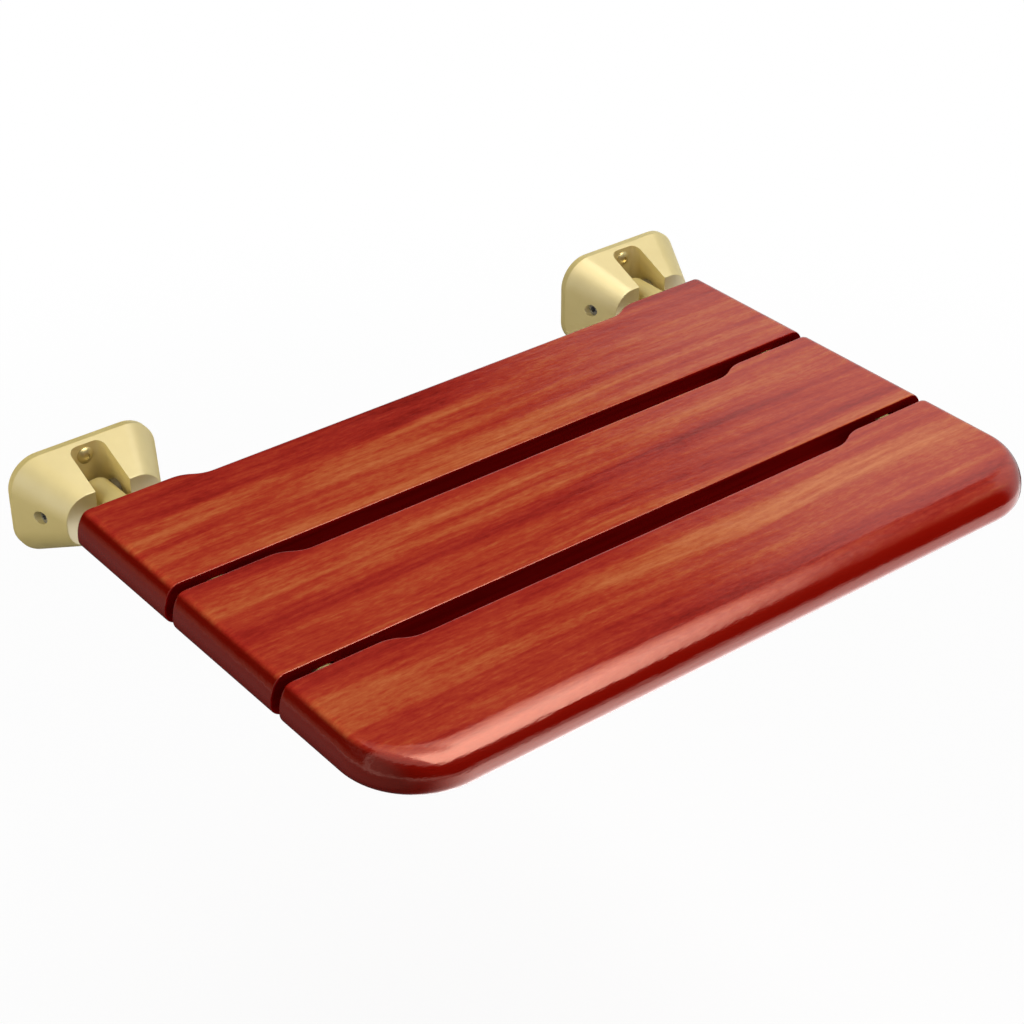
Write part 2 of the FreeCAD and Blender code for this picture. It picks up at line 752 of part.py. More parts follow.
def check(bodies):
    """Stop if any object failed to build or any sub-part isn't a sound solid."""
    for item in doc.Objects:
        if "Invalid" in item.State or "Error" in item.State:
            raise ValueError(f"{item.Label} failed to build")
    for body in bodies:
        if body.Shape.isNull() or not body.Shape.isValid() or not body.Shape.Solids:
            raise ValueError(f"{body.Label} isn't a sound solid")


sub_parts = make_all()
doc.recompute()
check(sub_parts)
os.makedirs("parts", exist_ok=True)
for sub_part in sub_parts:
    sub_part.Shape.exportStep(f"parts/{sub_part.Label}.step")
    box = sub_part.Shape.BoundBox
    print(
        f"{sub_part.Label}: {len(sub_part.Shape.Solids)} solids, {sub_part.Shape.Volume / 1000:.2f} cm3,"
        f" {box.XLength:.1f} x {box.YLength:.1f} x {box.ZLength:.1f} mm"
    )
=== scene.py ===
# %% [markdown]
# # A folding shower seat
# Three red wood slats lie across two gold arms, and the arms hinge up between the ears of two wall
# brackets. The imported model is loaded first, because every later piece takes its place and its size
# from it.

# %% Load the imported model
import json
import math

import bpy
import numpy as np
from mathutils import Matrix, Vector


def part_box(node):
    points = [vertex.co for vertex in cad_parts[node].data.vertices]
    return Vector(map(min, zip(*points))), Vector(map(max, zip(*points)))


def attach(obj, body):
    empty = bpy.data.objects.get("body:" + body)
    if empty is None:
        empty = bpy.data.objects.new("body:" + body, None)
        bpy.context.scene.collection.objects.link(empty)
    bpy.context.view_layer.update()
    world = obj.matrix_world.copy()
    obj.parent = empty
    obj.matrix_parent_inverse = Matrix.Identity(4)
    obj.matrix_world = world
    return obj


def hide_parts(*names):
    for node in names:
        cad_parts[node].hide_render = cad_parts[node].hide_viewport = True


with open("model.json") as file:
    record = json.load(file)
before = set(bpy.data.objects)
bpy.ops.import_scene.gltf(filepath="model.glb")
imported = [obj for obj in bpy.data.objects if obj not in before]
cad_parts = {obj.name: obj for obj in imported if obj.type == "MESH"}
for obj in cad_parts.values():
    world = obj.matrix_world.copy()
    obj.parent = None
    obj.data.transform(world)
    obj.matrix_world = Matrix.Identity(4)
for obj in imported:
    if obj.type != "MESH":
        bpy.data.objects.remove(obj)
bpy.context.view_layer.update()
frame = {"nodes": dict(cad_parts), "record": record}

# %% [markdown]
# ## The camera
# The photograph looks down on the seat from its front left corner, through a long lens that keeps the
# slats' edges nearly parallel. A camera could be placed by eye, but the three directions in which the
# seat's edges run out fix its place, its aim and its lens exactly, so those numbers are written here.

# %% Camera
CAMERA_PLACE = (-0.7728, -1.1357, 0.7711)
CAMERA_AIM = (0.5214, 0.6605, -0.5403)
SENSOR_MM = 36.0
LENS_MM = 81.64
scene = bpy.context.scene


def place_and_aim(thing, place, direction):
    """Put a camera or a lamp at a place, looking along a direction: both look down their own -Z axis."""
    thing.location = place
    thing.rotation_mode = "QUATERNION"
    thing.rotation_quaternion = Vector(direction).to_track_quat("-Z", "Y")
    scene.collection.objects.link(thing)


camera_data = bpy.data.cameras.new("photo_camera")
camera_data.sensor_width = SENSOR_MM
camera_data.lens = LENS_MM
camera = bpy.data.objects.new("photo_camera", camera_data)
place_and_aim(camera, CAMERA_PLACE, CAMERA_AIM)
scene.camera = camera
scene.view_settings.view_transform = "Standard"
print("camera stands", round(Vector(CAMERA_PLACE).length, 2), "m from the point between the brackets")

# %% [markdown]
# ## Small helpers for node trees
# A finish in Blender is a tree of nodes. Each node could be added, set and wired by hand in five lines;
# one helper that sets plain values and links sockets keeps every finish below short enough to read at a
# glance.

# %% Node helpers


def add_node(tree, kind, inputs=None, **settings):
    """Add one node: settings are its own switches; inputs given a socket are linked, others set."""
    made = tree.nodes.new(kind)
    for name, value in settings.items():
        setattr(made, name, value)
    for name, value in (inputs or {}).items():
        if isinstance(value, bpy.types.NodeSocket):
            tree.links.new(value, made.inputs[name])
        else:
            made.inputs[name].default_value = value
    return made


def add_maths(tree, operation, *values):
    """Add one sum on numbers or sockets, such as a product or a sine, and hand back its result."""
    return add_node(tree, "ShaderNodeMath", dict(enumerate(values)), operation=operation).outputs[0]


def add_ramp(tree, factor, stops):
    """Add a colour ramp with the given (place, colour) stops, driven by the factor socket."""
    made = add_node(tree, "ShaderNodeValToRGB", {"Fac": factor})
    keys = made.color_ramp.elements
    while len(keys) < len(stops):
        keys.new(1.0)
    for key, (place, colour) in zip(keys, stops):
        key.position = place
        key.color = (*colour, 1.0)
    return made.outputs["Color"]


def mix_shaders(tree, share, first, second):
    """The first shader where share is 0, the second where it is 1, and a blend of both between."""
    return add_node(tree, "ShaderNodeMixShader", {0: share, 1: first, 2: second}).outputs[0]


def new_finish(name):
    """Start a node material and hand back the material, its tree and its main shader."""
    material = bpy.data.materials.new(name)
    material.use_nodes = True
    tree = material.node_tree
    return material, tree, tree.nodes["Principled BSDF"]


def bare_finish(name):
    """Start a material without its main shader: the material, its tree and the socket of its surface."""
    material, tree, shader = new_finish(name)
    tree.nodes.remove(shader)
    return material, tree, tree.nodes["Material Output"].inputs["Surface"]


print("helpers ready: add_node, add_maths, add_ramp, mix_shaders, new_finish, bare_finish")

# %% [markdown]
# ## The white studio
# The photograph has a plain white ground. Pouring light on the seat until the ground burns out would
# bleach the wood, so the ground is white only to the rays that look at it: the camera's own, and those
# mirrored in metal and lacquer. For everything else the floor and the sky are a quiet grey that only
# softens the shadows, and lamps light the seat. Under the seat a tenth of the floor's brightness still
# comes from the lamps, so its soft shadow stays on it. From below the floor is open, so that the
# underside of the seat can be looked at too.

# %% Sky
WHITE = (1.0, 1.0, 1.0, 1.0)
SKY_FILL = 0.27


def looked_at(tree):
    """1 for rays from the camera, a mirror or through glass and 0 for the rest: the largest of three."""
    path = add_node(tree, "ShaderNodeLightPath").outputs
    mirrored = add_maths(tree, "MAXIMUM", path["Is Glossy Ray"], path["Is Transmission Ray"])
    return add_maths(tree, "MAXIMUM", path["Is Camera Ray"], mirrored)


def studio_sky(name):
    """A sky that is white where it is looked at, and a low even fill for everything that it lights."""
    world = bpy.data.worlds.new(name)
    world.use_nodes = True
    tree = world.node_tree
    tree.nodes.clear()
    seen = add_node(tree, "ShaderNodeBackground", {"Color": WHITE, "Strength": 1.0})
    fill = add_node(tree, "ShaderNodeBackground", {"Color": WHITE, "Strength": SKY_FILL})
    both = mix_shaders(tree, looked_at(tree), fill.outputs[0], seen.outputs[0])
    add_node(tree, "ShaderNodeOutputWorld", {"Surface": both})
    return world


scene.world = studio_sky("white_studio")
print("sky fills the shadows with", SKY_FILL, "of white")

# %% Floor finish
FLOOR_HEIGHT = -0.45
BOUNCE_GREY = (0.32, 0.32, 0.32, 1.0)
SHADOW_SHARE = 0.1
SHADOW_MIDDLE = (0.0, -0.2, FLOOR_HEIGHT)
SHADOW_NEAR = 0.5
SHADOW_FAR = 1.4


def floor_finish(name):
    """White where it is looked at, with a share of lamplight that fades out between the near and the far
    distance from the seat; grey to all other rays; and open from below."""
    material, tree, surface = bare_finish(name)
    glow = add_node(tree, "ShaderNodeEmission", {"Color": WHITE, "Strength": 1.0})
    lit = add_node(tree, "ShaderNodeBsdfDiffuse", {"Color": WHITE})
    place = add_node(tree, "ShaderNodeTexCoord").outputs["Object"]
    reach = add_node(tree, "ShaderNodeVectorMath", {0: place, 1: SHADOW_MIDDLE}, operation="DISTANCE")
    fade = {"Value": reach.outputs["Value"], "From Min": SHADOW_NEAR, "From Max": SHADOW_FAR,
            "To Min": SHADOW_SHARE, "To Max": 0.0}
    share = add_node(tree, "ShaderNodeMapRange", fade, interpolation_type="SMOOTHSTEP")
    seen = mix_shaders(tree, share.outputs[0], glow.outputs[0], lit.outputs[0])
    bounce = add_node(tree, "ShaderNodeBsdfDiffuse", {"Color": BOUNCE_GREY})
    above = mix_shaders(tree, looked_at(tree), bounce.outputs[0], seen)
    from_below = add_node(tree, "ShaderNodeNewGeometry").outputs["Backfacing"]
    clear = add_node(tree, "ShaderNodeBsdfTransparent")
    tree.links.new(mix_shaders(tree, from_below, above, clear.outputs[0]), surface)
    return material


pale_floor = floor_finish("pale_floor")
print("floor lies", -FLOOR_HEIGHT, "m below the brackets' middle and gets", pale_floor.name)

# %% [markdown]
# ## Surfaces from arrays
# Every new surface below is a grid of points worked out with numpy. The points could be added one by
# one, but an array is quicker to compute and easier to read. The points of a grid are numbered row by
# row, and one helper takes the four corners of all the squares between them at once.

# %% Grid to mesh
FLOOR_HALF = 8.0
FLOOR_POINTS = 3


def numbered(rows, columns, first=0):
    """The numbers of a grid's points, counted row by row from the first."""
    return first + np.arange(rows * columns).reshape(rows, columns)


def squares(number):
    """The squares between neighbours in a grid of point numbers: four corner numbers for each."""
    corners = [number[:-1, :-1], number[:-1, 1:], number[1:, 1:], number[1:, :-1]]
    return np.stack(corners, axis=-1).reshape(-1, 4)


def level_patch(x, y, height):
    """A flat patch: a grid of x and y at one height."""
    return np.stack([x, y, np.full_like(x, height)], axis=-1)


def put_on_stage(name, points, finish):
    """Make a studio surface from a (rows, columns, 3) grid, and mark it as no part of the object."""
    mesh = bpy.data.meshes.new(name)
    faces = squares(numbered(*points.shape[:2]))
    mesh.from_pydata(points.reshape(-1, 3).tolist(), [], faces.tolist())
    mesh.materials.append(finish)
    surface = bpy.data.objects.new(name, mesh)
    scene.collection.objects.link(surface)
    return surface


floor_line = np.linspace(-FLOOR_HALF, FLOOR_HALF, FLOOR_POINTS)
put_on_stage("floor", level_patch(*np.meshgrid(floor_line, floor_line), FLOOR_HEIGHT), pale_floor)
print("floor made,", 2.0 * FLOOR_HALF, "m square")

# %% [markdown]
# ## Lamps
# A softbox high on the right lights the seat, a smaller one on the left brightens the brackets' near
# sides, and a panel on the floor lights the front edge from below. Lacquer would show every one of them
# as a hard bright shape, so the lamps only shed light, and what the lacquer mirrors is hung separately
# in the next cells.

# %% Lamps
SOFTBOX_HEIGHT = 1.5
PANEL_HEIGHT = FLOOR_HEIGHT + 0.01


def add_softbox(name, place, aim, width, depth, radiance):
    """A rectangular lamp. Its power is brightness times pi times area, so that brightness is given."""
    lamp = bpy.data.lights.new(name, "AREA")
    lamp.shape = "RECTANGLE"
    lamp.size = width
    lamp.size_y = depth
    lamp.energy = radiance * math.pi * width * depth
    holder = bpy.data.objects.new(name, lamp)
    place_and_aim(holder, place, Vector(aim) - Vector(place))
    holder.visible_camera = False
    holder.visible_glossy = False
    print(name, round(lamp.energy, 1), "W")


add_softbox("right_softbox", place=(0.92, -0.42, SOFTBOX_HEIGHT), aim=(0.0, -0.42, 0.0),
            width=1.9, depth=0.9, radiance=4.2)
add_softbox("left_softbox", place=(-1.45, 0.0, 0.55), aim=(-0.25, -0.1, 0.0),
            width=1.0, depth=0.8, radiance=5.2)
add_softbox("floor_panel", place=(0.42, -0.8, PANEL_HEIGHT), aim=(0.42, -0.8, 1.0),
            width=1.05, depth=0.8, radiance=2.0)

# %% [markdown]
# ## What the lacquer mirrors
# The pink streak along the front edge is the mirror image of a softbox overhead, the deep red band
# below it is a black card in front, and the pale veil on the right of the slats is a bright wall
# behind. A photographer hangs the same things just outside the picture. Here each is a surface that
# only mirrored rays see: flat for the softbox and the floor, a patch of a sphere for the cards, with
# its brightness written at each of its points. Most of that brightness is a product of soft steps, and
# a pair of values below says where a step starts and where it ends. Three values are the start, the end
# and the number of a grid's lines.

# %% Card helpers


def smooth_step(value, start, end):
    """0 before start, 1 after end and a soft S between: at a share s of the way, 3 s squared less 2 s
    cubed."""
    share = np.clip((value - start) / (end - start), 0.0, 1.0)
    return share * share * (3.0 - 2.0 * share)


def card_grid(across, down):
    """Two grids of even steps, from (start, end, number) across the columns and down the rows."""
    return np.meshgrid(np.linspace(*across), np.linspace(*down))


def ball_patch(centre, radius, turn, rise):
    """A patch of a sphere: centre plus radius times (cos r sin t, cos r cos t, sin r), in degrees."""
    turn, rise = np.radians(turn), np.radians(rise)
    outward = [np.cos(rise) * np.sin(turn), np.cos(rise) * np.cos(turn), np.sin(rise)]
    return np.array(centre) + radius * np.stack(outward, axis=-1)


def card_finish(name):
    """A card that glows by the colour that its own points carry."""
    material, tree, surface = bare_finish(name)
    glow = add_node(tree, "ShaderNodeAttribute", attribute_name="glow")
    light = add_node(tree, "ShaderNodeEmission", {"Color": glow.outputs["Color"], "Strength": 1.0})
    tree.links.new(light.outputs[0], surface)
    return material


def tinted(glow, tone):
    """A glow in one colour: its strength times the colour's three channels at each point."""
    return glow[..., None] * np.array(tone)


def add_card(name, points, glow):
    """A card on a grid of points that only mirrored rays see, with a colour of glow at each point."""
    card = put_on_stage(name, points, mirrored_card)
    colour = np.ones((*points.shape[:2], 4))
    colour[..., :3] = glow
    shade = card.data.attributes.new("glow", "FLOAT_COLOR", "POINT")
    shade.data.foreach_set("color", colour.ravel())
    card.visible_camera = False
    card.visible_diffuse = False
    card.visible_transmission = False
    card.visible_shadow = False
    print(name, "glows from", round(float(np.min(glow)), 2), "to", round(float(np.max(glow)), 2))


mirrored_card = card_finish("mirrored_card")
print("cards get", mirrored_card.name)

# %% Softbox as the lacquer sees it
WARM_WHITE = (1.0, 0.96, 0.86)
SOFTBOX_X = (-0.5, 2.0, 51)
SOFTBOX_Y = (-2.4, 0.8, 65)
SOFTBOX_GLOW = 8.5
FAINT_SHARE = 0.2
FAINT_RISE = (0.8, 0.5)
BRIGHT_RISE = (0.5, -0.75)
FRONT_FADE = (-2.3, -1.8)
RIGHT_EDGE = 0.925
RIGHT_BOW = 0.19
RIGHT_BOW_MIDDLE = -0.5
RIGHT_FADE = (0.46, -0.31)
CORNER_LOSS = 0.7
CORNER_X = (0.5, 0.2)
CORNER_Y = (-0.9, -0.4)


def softbox_glow(x, y):
    """Light that rises from the rear in a faint and a bright step and fades at the front. It is cut off
    on the right along a bowed line, edge plus bow times the squared distance from its middle, and is
    weak at the rear left."""
    past_edge = x - RIGHT_EDGE - RIGHT_BOW * (y - RIGHT_BOW_MIDDLE) ** 2
    from_rear = FAINT_SHARE * smooth_step(y, *FAINT_RISE)
    from_rear += (1.0 - FAINT_SHARE) * smooth_step(y, *BRIGHT_RISE)
    glow = SOFTBOX_GLOW * from_rear * smooth_step(past_edge, *RIGHT_FADE) * smooth_step(y, *FRONT_FADE)
    return glow * (1.0 - CORNER_LOSS * smooth_step(x, *CORNER_X) * smooth_step(y, *CORNER_Y))


x, y = card_grid(SOFTBOX_X, SOFTBOX_Y)
add_card("overhead_softbox", level_patch(x, y, SOFTBOX_HEIGHT), tinted(softbox_glow(x, y), WARM_WHITE))

# %% Floor as the lacquer sees it
PLAIN_WHITE = (1.0, 1.0, 1.0)
FLOOR_CARD_HEIGHT = FLOOR_HEIGHT + 0.005
FLOOR_CARD_X = (-2.0, 1.5, 71)
FLOOR_CARD_Y = (-1.8, 2.2, 81)
FRONT_GLOW = 3.4
FRONT_PIVOT = -0.1
FRONT_TURN = (60.0, 115.0)
FRONT_REACH = (-1.8, -1.35)
FRONT_LOSS = 0.5
FRONT_LOSS_X = (0.1, 0.7)
SIDE_GLOW = 0.03
SIDE_RISES = ((0.02, 0.2, -0.2), (0.14, -0.4, -0.9))


def floor_glow(x, y):
    """In front of the seat, bright by the turn in degrees about a pivot point, less a loss to the right;
    beside the seat, a faint glow that rises to the left in steps of (gain, start, end)."""
    turn = np.degrees(np.arctan2(FRONT_PIVOT - y, FRONT_PIVOT - x))
    front = FRONT_GLOW * smooth_step(turn, *FRONT_TURN) * smooth_step(y, *FRONT_REACH)
    front *= 1.0 - FRONT_LOSS * smooth_step(x, *FRONT_LOSS_X)
    side = sum((gain * smooth_step(x, start, end) for gain, start, end in SIDE_RISES), SIDE_GLOW)
    return side + front


x, y = card_grid(FLOOR_CARD_X, FLOOR_CARD_Y)
floor_card = level_patch(x, y, FLOOR_CARD_HEIGHT)
add_card("floor_near_the_seat", floor_card, tinted(floor_glow(x, y), PLAIN_WHITE))

# %% Card in front
FRONT_CARD_MIDDLE = (0.0, -0.38, 0.0)
FRONT_CARD_RADIUS = 1.065
FRONT_CARD_TURN = (75.0, 270.0, 79)
FRONT_CARD_ROWS = (0.0, 1.0, 19)
FRONT_CARD_TOP = 37.0
FRONT_CARD_FOOT = -11.0
FOOT_LIFT = 5.0
FOOT_LIFT_TURN = (132.0, 158.0)
RIGHT_END_GLOW = 0.8
RIGHT_END_TURN = (120.0, 100.0)
LEFT_END_GLOW = 0.35
LEFT_END_TURN = (230.0, 262.0)
turn, share = card_grid(FRONT_CARD_TURN, FRONT_CARD_ROWS)
foot = FRONT_CARD_FOOT + FOOT_LIFT * smooth_step(turn, *FOOT_LIFT_TURN)
rise = foot + (FRONT_CARD_TOP - foot) * share
left_end = LEFT_END_GLOW * smooth_step(turn, *LEFT_END_TURN)
right_end = RIGHT_END_GLOW * smooth_step(turn, *RIGHT_END_TURN)
front_card = ball_patch(FRONT_CARD_MIDDLE, FRONT_CARD_RADIUS, turn, rise)
add_card("front_card", front_card, tinted(left_end + right_end, PLAIN_WHITE))

# %% Wall behind
COOL_GREY = (0.85, 0.97, 1.0)
WARM_GREY = (1.0, 0.62, 0.48)
BACK_CARD_MIDDLE = (0.0, -0.2, 0.0)
BACK_CARD_RADIUS = 2.6
BACK_CARD_TURN = (-90.0, 80.0, 86)
BACK_CARD_RISE = (-9.0, 60.0, 36)
RIGHT_WALL_GLOW = 0.72
RIGHT_WALL_TURN = (40.0, 53.0)
RIGHT_WALL_LEAN = 1.2
RIGHT_WALL_LEAN_RISE = 32.0
LEFT_WALL_GLOW = 0.36
LEFT_WALL_TURN = (0.0, -30.0)
LEFT_WALL_RISE = (7.0, -6.0)
turn, rise = card_grid(BACK_CARD_TURN, BACK_CARD_RISE)
leaning_turn = turn + RIGHT_WALL_LEAN * (RIGHT_WALL_LEAN_RISE - rise)
right_wall = RIGHT_WALL_GLOW * smooth_step(leaning_turn, *RIGHT_WALL_TURN)
left_wall = LEFT_WALL_GLOW * smooth_step(rise, *LEFT_WALL_RISE) * smooth_step(turn, *LEFT_WALL_TURN)
back_card = ball_patch(BACK_CARD_MIDDLE, BACK_CARD_RADIUS, turn, rise)
add_card("back_card", back_card, tinted(right_wall, COOL_GREY) + tinted(left_wall, WARM_GREY))

# %% [markdown]
# ## Noise for every finish
# Wood, brushed steel, grit-blasted gold and moulded plastic all vary from spot to spot. A picture for
# each would have to be unwrapped onto every piece. A noise read from the object's own coordinates needs
# no unwrapping: one helper makes it, and three let it steer the colour, the gloss and the bump. A noise
# is written as (cells in a metre along X, cells in a metre across, detail, roughness), and a bump as
# (strength, depth in metres).

# %% Noise helpers
NOISE_LOW = 0.3
NOISE_HIGH = 0.7


def drawn_noise(tree, place, along, across, detail, rough):
    """Noise with cells drawn out along X: so many to a metre along it, and so many in Y and Z."""
    spot = add_node(tree, "ShaderNodeMapping", {"Vector": place, "Scale": (along, across, across)})
    noise = {"Vector": spot.outputs[0], "Scale": 1.0, "Detail": detail, "Roughness": rough}
    return add_node(tree, "ShaderNodeTexNoise", noise).outputs


def vary_colour(tree, shader, noise, stops):
    """Let a noise choose the colour from a ramp of (place, colour) stops."""
    tree.links.new(add_ramp(tree, noise, stops), shader.inputs["Base Color"])


def vary_gloss(tree, shader, noise, smoothest, roughest):
    """Let a noise carry the roughness from smoothest, where it is 0, to roughest, where it is 1."""
    limits = {"Value": noise, "To Min": smoothest, "To Max": roughest}
    rough = add_node(tree, "ShaderNodeMapRange", limits)
    tree.links.new(rough.outputs[0], shader.inputs["Roughness"])


def add_bump(tree, shader, noise, strength, depth):
    """Let a noise raise the surface by up to a depth in metres, on top of any bump it already has."""
    bump = add_node(tree, "ShaderNodeBump", {"Strength": strength, "Distance": depth, "Height": noise})
    for earlier in shader.inputs["Normal"].links:
        tree.links.new(earlier.from_socket, bump.inputs["Normal"])
    tree.links.new(bump.outputs[0], shader.inputs["Normal"])


print("helpers ready: drawn_noise, vary_colour, vary_gloss, add_bump")

# %% [markdown]
# ## Red lacquered wood
# The slats are a dense red wood under clear lacquer: long bands of crimson and orange-brown, growth
# lines and blotches in them, and short pale flecks and dark pores along the grain. A picture of wood
# would do for one board only. Layers of noise, drawn out along the grain, give all three slats their
# own figure at the right scale. The rounded edges drink more stain and turn a deep even red, and the
# ends, cut across the grain, drink most. Brushed lacquer is never quite flat, so a gentle ripple bends
# what it mirrors and keeps the bright streak from looking ruled.

# %% Grain
SWAY = 0.020
SWAY_NOISE = (3.0, 8.0, 2.0, 0.5)
RING_NOISE = (1.2, 16.0, 2.0, 0.5)
RING_COUNT = 6.0
GRAIN_NOISES = {
    "broad": (1.6, 34.0, 3.0, 0.55),
    "blotch": (16.0, 70.0, 4.0, 0.65),
    "streak": (3.5, 140.0, 4.0, 0.65),
    "fleck": (130.0, 420.0, 3.0, 0.65),
}
GRAIN_WEIGHTS = {"broad": 0.9, "blotch": 0.45, "streak": 0.9, "fleck": 0.6, "ring": 0.2}


def swayed(tree, place):
    """Coordinates that wander across the grain: the place plus, in Y and Z, sway times a noise that runs
    from minus a half to a half."""
    noise = drawn_noise(tree, place, *SWAY_NOISE)["Color"]
    shift = {0: noise, 1: (0.5, 0.5, 0.5)}
    centred = add_node(tree, "ShaderNodeVectorMath", shift, operation="SUBTRACT")
    wander = {0: centred.outputs[0], 1: (0.0, SWAY, SWAY), 2: place}
    return add_node(tree, "ShaderNodeVectorMath", wander, operation="MULTIPLY_ADD").outputs[0]


def growth_lines(tree, place):
    """Growth rings cut lengthwise: half plus half the sine of a slow noise that crosses all rings."""
    slow = drawn_noise(tree, place, *RING_NOISE)["Fac"]
    turned = add_maths(tree, "MULTIPLY", slow, 2.0 * math.pi * RING_COUNT)
    wave = add_maths(tree, "SINE", turned)
    return add_maths(tree, "MULTIPLY_ADD", wave, 0.5, 0.5)


def grain_layers(tree, place):
    """All layers of the grain by name: the drawn noises and the growth lines."""
    layers = {name: drawn_noise(tree, place, *noise)["Fac"] for name, noise in GRAIN_NOISES.items()}
    layers["ring"] = growth_lines(tree, place)
    return layers


def weighted_sum(tree, start, layers):
    """start plus each layer's weight times how far the layer lies from its middle value of a half."""
    total = start
    for name, weight in GRAIN_WEIGHTS.items():
        total = add_maths(tree, "MULTIPLY_ADD", layers[name], weight, total)
    return add_maths(tree, "SUBTRACT", total, 0.5 * sum(GRAIN_WEIGHTS.values()))


print("grain has", len(GRAIN_WEIGHTS), "layers")

# %% Lacquered wood finish
DEEP_WINE = (0.230, 0.010, 0.007)
CRIMSON = (0.385, 0.024, 0.014)
WARM_RED = (0.465, 0.048, 0.019)
ORANGE_BROWN = (0.530, 0.102, 0.031)
PALE_FLECK = (0.640, 0.185, 0.060)
EDGE_RED = (0.335, 0.005, 0.0008)
END_RED = (0.138, 0.003, 0.0005)
FIGURE_STOPS = [(0.0, DEEP_WINE), (0.3, CRIMSON), (0.52, WARM_RED), (0.72, ORANGE_BROWN),
                (1.0, PALE_FLECK)]
STAIN_STOPS = [(0.3, EDGE_RED), (0.7, END_RED)]
LEVEL_FROM = 0.66
LEVEL_TO = 0.98
LACQUER_GLOSS = (0.07, 0.22)
LACQUER_RIPPLE = (0.5, 0.0008)
PORE_BUMP = (0.18, 0.0004)
LACQUER_INDEX = 1.75
LACQUER_TINT = (1.0, 0.55, 0.44, 1.0)


def stained(tree, normal, figure):
    """The figure on level faces and stain on the edges: a soft step of the normal's Z chooses between
    them, and the normal's X between the red of the long edges and the deeper red of the ends."""
    facing = add_node(tree, "ShaderNodeSeparateXYZ", {0: normal}).outputs
    upright = add_maths(tree, "ABSOLUTE", facing["Z"])
    endwise = add_maths(tree, "ABSOLUTE", facing["X"])
    limits = {"Value": upright, "From Min": LEVEL_FROM, "From Max": LEVEL_TO}
    level = add_node(tree, "ShaderNodeMapRange", limits, interpolation_type="SMOOTHSTEP")
    stain = add_ramp(tree, endwise, STAIN_STOPS)
    mixed = add_node(tree, "ShaderNodeMix", {0: level.outputs[0], 6: stain, 7: figure}, data_type="RGBA")
    return mixed.outputs[2]


def wood_finish(name, rear, front, bands):
    """Lacquered wood for a board from y = rear to y = front; bands gives (share of way, lightness)."""
    material, tree, shader = new_finish(name)
    where = add_node(tree, "ShaderNodeTexCoord").outputs
    grain = swayed(tree, where["Object"])
    place = add_node(tree, "ShaderNodeSeparateXYZ", {0: grain}).outputs["Y"]
    share = add_node(tree, "ShaderNodeMapRange", {"Value": place, "From Min": rear, "From Max": front})
    band = add_ramp(tree, share.outputs[0], [(at, (level, level, level)) for at, level in bands])
    layers = grain_layers(tree, grain)
    figure = add_ramp(tree, weighted_sum(tree, band, layers), FIGURE_STOPS)
    tree.links.new(stained(tree, where["Normal"], figure), shader.inputs["Base Color"])
    vary_gloss(tree, shader, layers["blotch"], *LACQUER_GLOSS)
    add_bump(tree, shader, layers["blotch"], *LACQUER_RIPPLE)
    add_bump(tree, shader, layers["fleck"], *PORE_BUMP)
    shader.inputs["IOR"].default_value = LACQUER_INDEX
    shader.inputs["Specular Tint"].default_value = LACQUER_TINT
    return material


SLAT_BANDS = {
    "rear_slat": [(0.0, 0.2), (0.3, 0.35), (0.6, 0.6), (0.85, 0.6), (1.0, 0.55)],
    "middle_slat": [(0.0, 0.35), (0.25, 0.6), (0.5, 0.42), (0.75, 0.42), (1.0, 0.6)],
    "front_slat": [(0.0, 0.35), (0.3, 0.65), (0.55, 0.65), (0.75, 0.38), (1.0, 0.5)],
}
lacquered = {}
for slat, bands in SLAT_BANDS.items():
    low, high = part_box(slat)
    lacquered[slat] = wood_finish("red_wood_" + slat, high[1], low[1], bands)
    print(slat, "gets", lacquered[slat].name)

# %% [markdown]
# ## The sawn edges in the gaps
# Inside the two gaps the boards show their straight sawn edges. These are sealed but not polished, and
# lie in the dark. A second lacquer would mirror the studio there, so they get a plain finish without any
# sheen, and a trace of the fibres in its colour. Its deep wine, much darker than the lacquered edges, is
# painted shade for the inside of the gaps.

# %% Sawn edge finish
FIBRE_NOISE = (12.0, 300.0, 3.0, 0.6)
# painted shade: these dark wines stand in for the shade inside the gaps between the boards
SAWN_SHADE_DARK = (0.120, 0.001, 0.001)
SAWN_SHADE_WINE = (0.190, 0.002, 0.002)
SAWN_GLOSS = (0.45, 0.65)


def sawn_shade_finish(name):
    """Matt sealed wood: a fine noise, drawn out along the board, for its fibres, and no mirror layer.
    Its dark wine is painted shade for the inside of the gaps.
    """
    material, tree, shader = new_finish(name)
    place = add_node(tree, "ShaderNodeTexCoord").outputs["Object"]
    fibre = drawn_noise(tree, place, *FIBRE_NOISE)["Fac"]
    vary_colour(tree, shader, fibre, [(NOISE_LOW, SAWN_SHADE_DARK), (NOISE_HIGH, SAWN_SHADE_WINE)])
    vary_gloss(tree, shader, fibre, *SAWN_GLOSS)
    shader.inputs["Specular IOR Level"].default_value = 0.0
    return material


sawn_edge_in_shade = sawn_shade_finish("sawn_wood_edge_painted_shade")
print("sawn edges get", sawn_edge_in_shade.name)

# %% [markdown]
# ## The slats
# Each slat is a board with its ends rounded over by a router, a long shallow dip in its rear edge that
# lets water through, and grooves below for the arms; the front one has large corners. A bevelled cube
# can't hold the dip and the rounding together. Here the board is cut into level slices: each slice is a
# rectangle with round corners whose sides draw in by the amount the router takes at that height, and
# the slices are stacked and closed above and below. A rounding is written as (how far it runs in, how
# far it drops), in metres.

# %% Slat edges
END_ROUND = (0.010, 0.017)
FRONT_ROUND = (0.018, 0.016)
BELOW_ROUND = (0.008, 0.008)
UPPER_SLICES = 21
LOWER_SLICES = 11
RELIEF_DEPTH = 0.008
RELIEF_INSET = 0.067
RELIEF_RUN = 0.026


